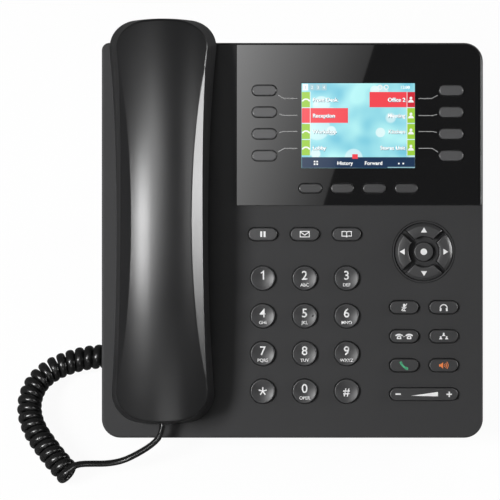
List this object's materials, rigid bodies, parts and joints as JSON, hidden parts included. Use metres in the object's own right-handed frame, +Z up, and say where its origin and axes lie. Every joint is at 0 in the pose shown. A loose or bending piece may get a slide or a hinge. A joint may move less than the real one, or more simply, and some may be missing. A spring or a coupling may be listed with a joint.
{
  "type": "desk ip phone",
  "caption": "Desk telephone on a tilted stand, with a colour screen, dial and function keys, and a handset on a curly cord.",
  "frame": {"origin": "on the desk, under the middle of the phone without its cord", "axes": "+X to the right of the user, +Y away from the user, +Z up"},
  "size_m": [0.2384, 0.1967, 0.1483],
  "materials": {
    "body_plastic": "fine moulded texture",
    "handset_plastic": "satin",
    "panel_gloss": "high gloss",
    "screen": "lit colour screen",
    "key_plastic": "satin with printed legends",
    "silicone": "silicone",
    "board": "solder mask",
    "jack_plastic": "moulded",
    "driver": "painted basket and paper cone",
    "steel": "zinc",
    "foot_rubber": "matt rubber",
    "cord_plastic": "soft vinyl",
    "plug_plastic": "clear moulded"
  },
  "bodies": {
    "base": {"front_cover": "body_plastic", "back_cover": "body_plastic", "display_panel": "panel_gloss", "lcd_module": "screen", "keypad_mat": "silicone", "main_board": "board", "modular_jacks": "jack_plastic", "power_jack": "jack_plastic", "loudspeaker": "driver", "stand": "body_plastic", "rubber_feet": "foot_rubber", "housing_screws": "steel", "cord_coil": "cord_plastic", "cord_tail_base": "cord_plastic", "base_plug": "plug_plastic", "cord_tail_handset": "cord_plastic"},
    "handset": {"handset_outer_shell": "handset_plastic", "handset_inner_shell": "handset_plastic", "handset_capsules": "driver", "handset_plug": "plug_plastic"},
    "hook_plunger": {"hook_plunger": "body_plastic"},
    "volume_key": {"volume_key": "key_plastic"},
    "hold_key": {"hold_key": "key_plastic"},
    "message_key": {"message_key": "key_plastic"},
    "directory_key": {"directory_key": "key_plastic"},
    "send_key": {"send_key": "key_plastic"},
    "speaker_key": {"speaker_key": "key_plastic"},
    "transfer_key": {"transfer_key": "key_plastic"},
    "conference_key": {"conference_key": "key_plastic"},
    "mute_key": {"mute_key": "key_plastic"},
    "headset_key": {"headset_key": "key_plastic"},
    "line_key_1": {"line_key_1": "key_plastic"},
    "line_key_5": {"line_key_5": "key_plastic"},
    "line_key_2": {"line_key_2": "key_plastic"},
    "line_key_6": {"line_key_6": "key_plastic"},
    "line_key_3": {"line_key_3": "key_plastic"},
    "line_key_7": {"line_key_7": "key_plastic"},
    "line_key_4": {"line_key_4": "key_plastic"},
    "line_key_8": {"line_key_8": "key_plastic"},
    "soft_key_1": {"soft_key_1": "key_plastic"},
    "soft_key_2": {"soft_key_2": "key_plastic"},
    "soft_key_3": {"soft_key_3": "key_plastic"},
    "soft_key_4": {"soft_key_4": "key_plastic"},
    "dial_key_star": {"dial_key_star": "key_plastic"},
    "dial_key_0": {"dial_key_0": "key_plastic"},
    "dial_key_hash": {"dial_key_hash": "key_plastic"},
    "dial_key_7": {"dial_key_7": "key_plastic"},
    "dial_key_8": {"dial_key_8": "key_plastic"},
    "dial_key_9": {"dial_key_9": "key_plastic"},
    "dial_key_4": {"dial_key_4": "key_plastic"},
    "dial_key_5": {"dial_key_5": "key_plastic"},
    "dial_key_6": {"dial_key_6": "key_plastic"},
    "dial_key_1": {"dial_key_1": "key_plastic"},
    "dial_key_2": {"dial_key_2": "key_plastic"},
    "dial_key_3": {"dial_key_3": "key_plastic"},
    "nav_right_key": {"nav_right_key": "key_plastic"},
    "nav_up_key": {"nav_up_key": "key_plastic"},
    "nav_left_key": {"nav_left_key": "key_plastic"},
    "nav_down_key": {"nav_down_key": "key_plastic"},
    "nav_ok_key": {"nav_ok_key": "key_plastic"}
  },
  "joints": [
    {"name": "hold_key_press", "type": "slide", "parent": "base", "child": "hold_key", "axis": [0, 0.5736, -0.8192], "range_m": [0, 0.0009], "stiffness_N_per_m": 500, "springref_m": -0.001, "deforming": ["keypad_mat"]},
    {"name": "message_key_press", "type": "slide", "parent": "base", "child": "message_key", "axis": [0, 0.5736, -0.8192], "range_m": [0, 0.0009], "stiffness_N_per_m": 500, "springref_m": -0.001, "deforming": ["keypad_mat"]},
    {"name": "directory_key_press", "type": "slide", "parent": "base", "child": "directory_key", "axis": [0, 0.5736, -0.8192], "range_m": [0, 0.0009], "stiffness_N_per_m": 500, "springref_m": -0.001, "deforming": ["keypad_mat"]},
    {"name": "send_key_press", "type": "slide", "parent": "base", "child": "send_key", "axis": [0, 0.5736, -0.8192], "range_m": [0, 0.0009], "stiffness_N_per_m": 500, "springref_m": -0.001, "deforming": ["keypad_mat"]},
    {"name": "speaker_key_press", "type": "slide", "parent": "base", "child": "speaker_key", "axis": [0, 0.5736, -0.8192], "range_m": [0, 0.0009], "stiffness_N_per_m": 500, "springref_m": -0.001, "deforming": ["keypad_mat"]},
    {"name": "transfer_key_press", "type": "slide", "parent": "base", "child": "transfer_key", "axis": [0, 0.5736, -0.8192], "range_m": [0, 0.0009], "stiffness_N_per_m": 500, "springref_m": -0.001, "deforming": ["keypad_mat"]},
    {"name": "conference_key_press", "type": "slide", "parent": "base", "child": "conference_key", "axis": [0, 0.5736, -0.8192], "range_m": [0, 0.0009], "stiffness_N_per_m": 500, "springref_m": -0.001, "deforming": ["keypad_mat"]},
    {"name": "mute_key_press", "type": "slide", "parent": "base", "child": "mute_key", "axis": [0, 0.5736, -0.8192], "range_m": [0, 0.0009], "stiffness_N_per_m": 500, "springref_m": -0.001, "deforming": ["keypad_mat"]},
    {"name": "headset_key_press", "type": "slide", "parent": "base", "child": "headset_key", "axis": [0, 0.5736, -0.8192], "range_m": [0, 0.0009], "stiffness_N_per_m": 500, "springref_m": -0.001, "deforming": ["keypad_mat"]},
    {"name": "line_key_1_press", "type": "slide", "parent": "base", "child": "line_key_1", "axis": [0, 0.5736, -0.8192], "range_m": [0, 0.0009], "stiffness_N_per_m": 500, "springref_m": -0.001, "deforming": ["keypad_mat"]},
    {"name": "line_key_5_press", "type": "slide", "parent": "base", "child": "line_key_5", "axis": [0, 0.5736, -0.8192], "range_m": [0, 0.0009], "stiffness_N_per_m": 500, "springref_m": -0.001, "deforming": ["keypad_mat"]},
    {"name": "line_key_2_press", "type": "slide", "parent": "base", "child": "line_key_2", "axis": [0, 0.5736, -0.8192], "range_m": [0, 0.0009], "stiffness_N_per_m": 500, "springref_m": -0.001, "deforming": ["keypad_mat"]},
    {"name": "line_key_6_press", "type": "slide", "parent": "base", "child": "line_key_6", "axis": [0, 0.5736, -0.8192], "range_m": [0, 0.0009], "stiffness_N_per_m": 500, "springref_m": -0.001, "deforming": ["keypad_mat"]},
    {"name": "line_key_3_press", "type": "slide", "parent": "base", "child": "line_key_3", "axis": [0, 0.5736, -0.8192], "range_m": [0, 0.0009], "stiffness_N_per_m": 500, "springref_m": -0.001, "deforming": ["keypad_mat"]},
    {"name": "line_key_7_press", "type": "slide", "parent": "base", "child": "line_key_7", "axis": [0, 0.5736, -0.8192], "range_m": [0, 0.0009], "stiffness_N_per_m": 500, "springref_m": -0.001, "deforming": ["keypad_mat"]},
    {"name": "line_key_4_press", "type": "slide", "parent": "base", "child": "line_key_4", "axis": [0, 0.5736, -0.8192], "range_m": [0, 0.0009], "stiffness_N_per_m": 500, "springref_m": -0.001, "deforming": ["keypad_mat"]},
    {"name": "line_key_8_press", "type": "slide", "parent": "base", "child": "line_key_8", "axis": [0, 0.5736, -0.8192], "range_m": [0, 0.0009], "stiffness_N_per_m": 500, "springref_m": -0.001, "deforming": ["keypad_mat"]},
    {"name": "soft_key_1_press", "type": "slide", "parent": "base", "child": "soft_key_1", "axis": [0, 0.5736, -0.8192], "range_m": [0, 0.0009], "stiffness_N_per_m": 500, "springref_m": -0.001, "deforming": ["keypad_mat"]},
    {"name": "soft_key_2_press", "type": "slide", "parent": "base", "child": "soft_key_2", "axis": [0, 0.5736, -0.8192], "range_m": [0, 0.0009], "stiffness_N_per_m": 500, "springref_m": -0.001, "deforming": ["keypad_mat"]},
    {"name": "soft_key_3_press", "type": "slide", "parent": "base", "child": "soft_key_3", "axis": [0, 0.5736, -0.8192], "range_m": [0, 0.0009], "stiffness_N_per_m": 500, "springref_m": -0.001, "deforming": ["keypad_mat"]},
    {"name": "soft_key_4_press", "type": "slide", "parent": "base", "child": "soft_key_4", "axis": [0, 0.5736, -0.8192], "range_m": [0, 0.0009], "stiffness_N_per_m": 500, "springref_m": -0.001, "deforming": ["keypad_mat"]},
    {"name": "dial_key_star_press", "type": "slide", "parent": "base", "child": "dial_key_star", "axis": [0, 0.5736, -0.8192], "range_m": [0, 0.0009], "stiffness_N_per_m": 500, "springref_m": -0.001, "deforming": ["keypad_mat"]},
    {"name": "dial_key_0_press", "type": "slide", "parent": "base", "child": "dial_key_0", "axis": [0, 0.5736, -0.8192], "range_m": [0, 0.0009], "stiffness_N_per_m": 500, "springref_m": -0.001, "deforming": ["keypad_mat"]},
    {"name": "dial_key_hash_press", "type": "slide", "parent": "base", "child": "dial_key_hash", "axis": [0, 0.5736, -0.8192], "range_m": [0, 0.0009], "stiffness_N_per_m": 500, "springref_m": -0.001, "deforming": ["keypad_mat"]},
    {"name": "dial_key_7_press", "type": "slide", "parent": "base", "child": "dial_key_7", "axis": [0, 0.5736, -0.8192], "range_m": [0, 0.0009], "stiffness_N_per_m": 500, "springref_m": -0.001, "deforming": ["keypad_mat"]},
    {"name": "dial_key_8_press", "type": "slide", "parent": "base", "child": "dial_key_8", "axis": [0, 0.5736, -0.8192], "range_m": [0, 0.0009], "stiffness_N_per_m": 500, "springref_m": -0.001, "deforming": ["keypad_mat"]},
    {"name": "dial_key_9_press", "type": "slide", "parent": "base", "child": "dial_key_9", "axis": [0, 0.5736, -0.8192], "range_m": [0, 0.0009], "stiffness_N_per_m": 500, "springref_m": -0.001, "deforming": ["keypad_mat"]},
    {"name": "dial_key_4_press", "type": "slide", "parent": "base", "child": "dial_key_4", "axis": [0, 0.5736, -0.8192], "range_m": [0, 0.0009], "stiffness_N_per_m": 500, "springref_m": -0.001, "deforming": ["keypad_mat"]},
    {"name": "dial_key_5_press", "type": "slide", "parent": "base", "child": "dial_key_5", "axis": [0, 0.5736, -0.8192], "range_m": [0, 0.0009], "stiffness_N_per_m": 500, "springref_m": -0.001, "deforming": ["keypad_mat"]},
    {"name": "dial_key_6_press", "type": "slide", "parent": "base", "child": "dial_key_6", "axis": [0, 0.5736, -0.8192], "range_m": [0, 0.0009], "stiffness_N_per_m": 500, "springref_m": -0.001, "deforming": ["keypad_mat"]},
    {"name": "dial_key_1_press", "type": "slide", "parent": "base", "child": "dial_key_1", "axis": [0, 0.5736, -0.8192], "range_m": [0, 0.0009], "stiffness_N_per_m": 500, "springref_m": -0.001, "deforming": ["keypad_mat"]},
    {"name": "dial_key_2_press", "type": "slide", "parent": "base", "child": "dial_key_2", "axis": [0, 0.5736, -0.8192], "range_m": [0, 0.0009], "stiffness_N_per_m": 500, "springref_m": -0.001, "deforming": ["keypad_mat"]},
    {"name": "dial_key_3_press", "type": "slide", "parent": "base", "child": "dial_key_3", "axis": [0, 0.5736, -0.8192], "range_m": [0, 0.0009], "stiffness_N_per_m": 500, "springref_m": -0.001, "deforming": ["keypad_mat"]},
    {"name": "nav_right_key_press", "type": "slide", "parent": "base", "child": "nav_right_key", "axis": [0, 0.5736, -0.8192], "range_m": [0, 0.0009], "stiffness_N_per_m": 500, "springref_m": -0.001, "deforming": ["keypad_mat"]},
    {"name": "nav_up_key_press", "type": "slide", "parent": "base", "child": "nav_up_key", "axis": [0, 0.5736, -0.8192], "range_m": [0, 0.0009], "stiffness_N_per_m": 500, "springref_m": -0.001, "deforming": ["keypad_mat"]},
    {"name": "nav_left_key_press", "type": "slide", "parent": "base", "child": "nav_left_key", "axis": [0, 0.5736, -0.8192], "range_m": [0, 0.0009], "stiffness_N_per_m": 500, "springref_m": -0.001, "deforming": ["keypad_mat"]},
    {"name": "nav_down_key_press", "type": "slide", "parent": "base", "child": "nav_down_key", "axis": [0, 0.5736, -0.8192], "range_m": [0, 0.0009], "stiffness_N_per_m": 500, "springref_m": -0.001, "deforming": ["keypad_mat"]},
    {"name": "nav_ok_key_press", "type": "slide", "parent": "base", "child": "nav_ok_key", "axis": [0, 0.5736, -0.8192], "range_m": [0, 0.0009], "stiffness_N_per_m": 500, "springref_m": -0.001, "deforming": ["keypad_mat"]},
    {"name": "volume_key_rock", "type": "hinge", "parent": "base", "child": "volume_key", "pos_m": [0.0664, -0.06612, 0.02316], "axis": [0, 0.8192, 0.5736], "range_deg": [-2.2, 2.2], "stiffness_Nm_per_rad": 0.6, "deforming": ["keypad_mat"]},
    {"name": "handset_lift", "type": "slide", "parent": "base", "child": "handset", "axis": [0, -0.5736, 0.8192], "range_m": [0, 0.04], "deforming": ["cord_tail_handset"]},
    {"name": "hook_plunger_rise", "type": "slide", "parent": "base", "child": "hook_plunger", "axis": [0, -0.5736, 0.8192], "range_m": [0, 0.003]}
  ],
  "couplings": [
    {"joint": "hook_plunger_rise", "follows": "handset_lift", "ratio": 0.075}
  ]
}
